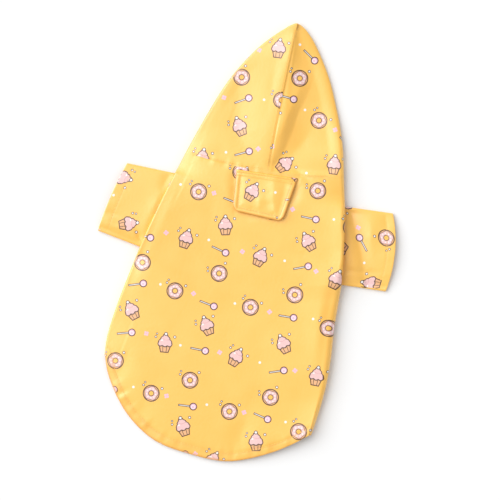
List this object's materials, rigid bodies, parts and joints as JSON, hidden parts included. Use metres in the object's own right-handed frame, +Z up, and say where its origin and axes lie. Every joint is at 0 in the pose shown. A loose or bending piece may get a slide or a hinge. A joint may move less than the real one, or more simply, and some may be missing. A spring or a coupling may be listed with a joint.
{
  "type": "hooded dog raincoat",
  "caption": "Hooded dog raincoat in printed yellow coated cloth, laid flat back up, with a pointed seamed hood, short sleeves, a leash flap at the nape and a rounded tail hem.",
  "frame": {"origin": "middle of the coat's bounding box, on the surface it is laid on", "axes": "+Y from the tail hem toward the hood's tip, +X across the coat to the right as seen from above, +Z up off the surface"},
  "size_m": [0.2952, 0.4446, 0.0158],
  "materials": {
    "printed_cloth": "satin coated polyester with a small print"
  },
  "bodies": {
    "root": {"back_panel": "printed_cloth", "belly_panel": "printed_cloth", "hood_left": "printed_cloth", "hood_right": "printed_cloth", "sleeve_left": "printed_cloth", "sleeve_right": "printed_cloth", "leash_flap": "printed_cloth"}
  },
  "joints": []
}
